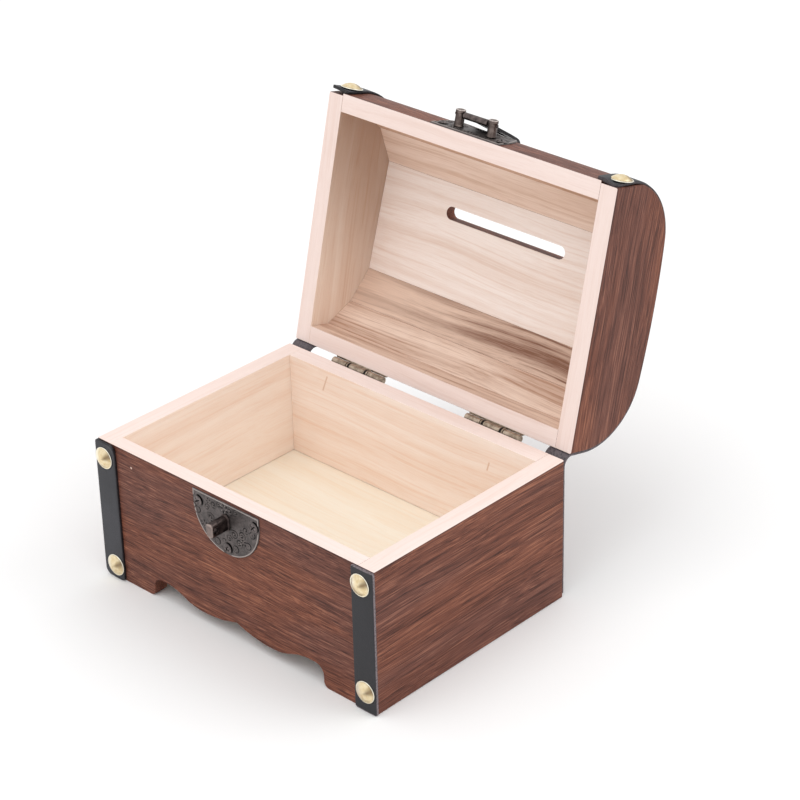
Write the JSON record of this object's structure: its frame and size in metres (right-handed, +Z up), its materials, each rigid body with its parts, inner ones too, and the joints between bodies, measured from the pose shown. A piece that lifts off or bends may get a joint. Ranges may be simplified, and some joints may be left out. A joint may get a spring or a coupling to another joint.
{
  "type": "treasure chest box",
  "caption": "Small wooden treasure chest with a domed hinged lid, coin slot, swinging hasp over a lock post, strap trim and dome tacks, scalloped front edge.",
  "frame": {"origin": "on the surface the chest stands on, under the middle of the open chest's bounding box", "axes": "+X along the width to the right seen from the front, -Y out of the front, +Z up"},
  "size_m": [0.151, 0.1762, 0.1733],
  "materials": {
    "stained_wood": "dark reddish stain with a streaked grain outside, pale raw wood on the rims and inside",
    "floor_ply": "thin raw plywood, fine straight grain",
    "strap_leather": "near-black leatherette with a faint grain, satin",
    "tack_brass": "domed, lightly hammered, worn pale gold",
    "lock_metal": "antique dark bronze, pressed scroll relief with rubbed edges",
    "hinge_brass": "antique brass, dull",
    "screw_metal": "antique bronze, small low round heads with cross recesses"
  },
  "bodies": {
    "base": {"base_back_panel": "stained_wood", "base_back_strap_left": "strap_leather", "base_back_strap_right": "strap_leather", "base_floor_panel": "floor_ply", "base_front_panel": "stained_wood", "base_front_strap_left": "strap_leather", "base_front_strap_right": "strap_leather", "base_hinge_screws": "screw_metal", "base_left_end": "stained_wood", "base_lock_plate": "lock_metal", "base_lock_screws": "screw_metal", "base_right_end": "stained_wood", "base_strap_tacks": "tack_brass", "hinge_base_leaf_left": "hinge_brass", "hinge_base_leaf_right": "hinge_brass", "hinge_pin_left": "hinge_brass", "hinge_pin_right": "hinge_brass", "lock_post": "lock_metal", "strap_fold_left": "strap_leather", "strap_fold_right": "strap_leather"},
    "lid": {"hasp_pin": "lock_metal", "hasp_post_left": "lock_metal", "hasp_post_right": "lock_metal", "hinge_lid_leaf_left": "hinge_brass", "hinge_lid_leaf_right": "hinge_brass", "lid_back_board": "stained_wood", "lid_back_lower_stave": "stained_wood", "lid_back_upper_stave": "stained_wood", "lid_front_board": "stained_wood", "lid_front_lower_stave": "stained_wood", "lid_front_upper_stave": "stained_wood", "lid_hinge_screws": "screw_metal", "lid_left_end": "stained_wood", "lid_lock_plate": "lock_metal", "lid_lock_screws": "screw_metal", "lid_right_end": "stained_wood", "lid_strap_left": "strap_leather", "lid_strap_right": "strap_leather", "lid_strap_tacks": "tack_brass", "lid_top_stave": "stained_wood"},
    "hasp": {"hasp": "lock_metal"}
  },
  "joints": [
    {"name": "lid_hinge", "type": "hinge", "parent": "base", "child": "lid", "pos_m": [0, 0.02926, 0.0617], "axis": [1, 0, 0], "range_deg": [0, 103.9], "deforming": ["strap_fold_left", "strap_fold_right"]},
    {"name": "hasp_hinge", "type": "hinge", "parent": "lid", "child": "hasp", "pos_m": [-0.0018, 0.06422, 0.1709], "axis": [1, 0, 0], "range_deg": [0, 213.21]}
  ]
}
